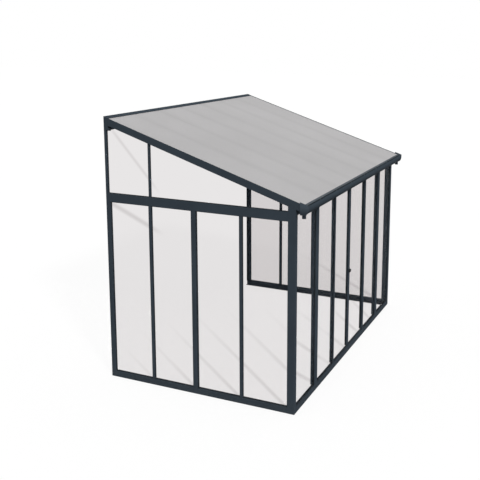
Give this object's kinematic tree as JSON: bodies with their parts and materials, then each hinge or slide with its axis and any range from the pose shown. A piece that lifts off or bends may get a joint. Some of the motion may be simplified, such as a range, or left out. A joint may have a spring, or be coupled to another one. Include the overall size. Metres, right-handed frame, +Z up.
{
  "type": "patio enclosure",
  "caption": "Lean-to patio enclosure with a dark aluminium frame, clear wall panes, an opal twin-wall roof, sliding double doors, a turn lock and a rain gutter.",
  "frame": {"origin": "on the floor at the middle of the footprint, halfway between the house wall and the front of the gutter", "axes": "+X along the house wall to the right seen from the garden, +Y towards the house, +Z up"},
  "size_m": [3.426, 2.299, 2.8659],
  "materials": {
    "frame_metal": "satin anthracite powder coat",
    "clear_pane": "clear and glossy",
    "roof_sheet": "opal grey twin-wall sheet",
    "roller_plastic": "moulded nylon",
    "buffer_rubber": "black rubber",
    "steel": "zinc-plated",
    "gutter_plastic": "moulded anthracite plastic",
    "handle_metal": "satin black"
  },
  "bodies": {
    "frame": {"door_stops": "buffer_rubber", "front_header": "frame_metal", "front_panes": "clear_pane", "front_sill": "frame_metal", "gable_mullions": "frame_metal", "gable_panes": "clear_pane", "gutter": "frame_metal", "gutter_caps": "gutter_plastic", "gutter_outlets": "gutter_plastic", "interlock_stiles": "frame_metal", "left_corner_post": "frame_metal", "left_door_post": "frame_metal", "left_end_rafter": "frame_metal", "left_mid_post": "frame_metal", "left_side_mullions": "frame_metal", "left_side_panes": "clear_pane", "left_sill": "frame_metal", "left_transom": "frame_metal", "left_wall_post": "frame_metal", "plate_caps": "frame_metal", "rafter_1": "frame_metal", "rafter_2": "frame_metal", "rafter_3": "frame_metal", "rafter_4": "frame_metal", "rafter_5": "frame_metal", "rafter_6": "frame_metal", "right_corner_post": "frame_metal", "right_door_post": "frame_metal", "right_end_rafter": "frame_metal", "right_mid_post": "frame_metal", "right_side_mullions": "frame_metal", "right_side_panes": "clear_pane", "right_sill": "frame_metal", "right_transom": "frame_metal", "right_wall_post": "frame_metal", "roof_panel_1": "roof_sheet", "roof_panel_2": "roof_sheet", "roof_panel_3": "roof_sheet", "roof_panel_4": "roof_sheet", "roof_panel_5": "roof_sheet", "roof_panel_6": "roof_sheet", "roof_panel_7": "roof_sheet", "wall_plate": "frame_metal", "wall_stiles": "frame_metal"},
    "left_door": {"left_door_axles": "steel", "left_door_pane": "clear_pane", "left_door_rails": "frame_metal", "left_door_stiles": "frame_metal"},
    "right_door": {"right_door_axles": "steel", "right_door_pane": "clear_pane", "right_door_pull": "handle_metal", "right_door_rails": "frame_metal", "right_door_stiles": "frame_metal"},
    "left_roller_1": {"left_door_roller_1": "roller_plastic"},
    "left_roller_2": {"left_door_roller_2": "roller_plastic"},
    "right_roller_1": {"right_door_roller_1": "roller_plastic"},
    "right_roller_2": {"right_door_roller_2": "roller_plastic"},
    "lock": {"lock_knob": "handle_metal", "lock_hook": "steel"}
  },
  "joints": [
    {"name": "left_door_slide", "type": "slide", "parent": "frame", "child": "left_door", "axis": [-1, 0, 0], "range_m": [0, 0.4875]},
    {"name": "right_door_slide", "type": "slide", "parent": "frame", "child": "right_door", "axis": [1, 0, 0], "range_m": [0, 0.4875]},
    {"name": "left_roller_1_turn", "type": "hinge", "parent": "left_door", "child": "left_roller_1", "pos_m": [-0.473, -0.9895, 0.0298], "axis": [0, -1, 0], "range_deg": [0, 2946]},
    {"name": "left_roller_2_turn", "type": "hinge", "parent": "left_door", "child": "left_roller_2", "pos_m": [-0.0915, -0.9895, 0.0298], "axis": [0, -1, 0], "range_deg": [0, 2946]},
    {"name": "right_roller_1_turn", "type": "hinge", "parent": "right_door", "child": "right_roller_1", "pos_m": [0.473, -0.9895, 0.0298], "axis": [0, 1, 0], "range_deg": [0, 2946]},
    {"name": "right_roller_2_turn", "type": "hinge", "parent": "right_door", "child": "right_roller_2", "pos_m": [0.0915, -0.9895, 0.0298], "axis": [0, 1, 0], "range_deg": [0, 2946]},
    {"name": "lock_turn", "type": "hinge", "parent": "left_door", "child": "lock", "pos_m": [-0.0115, -0.9895, 0.985], "axis": [0, 1, 0], "range_deg": [0, 90]}
  ],
  "couplings": [
    {"joint": "left_roller_1_turn", "follows": "left_door_slide", "rad_per_m": 105.26},
    {"joint": "left_roller_2_turn", "follows": "left_door_slide", "rad_per_m": 105.26},
    {"joint": "right_roller_1_turn", "follows": "right_door_slide", "rad_per_m": 105.26},
    {"joint": "right_roller_2_turn", "follows": "right_door_slide", "rad_per_m": 105.26}
  ]
}
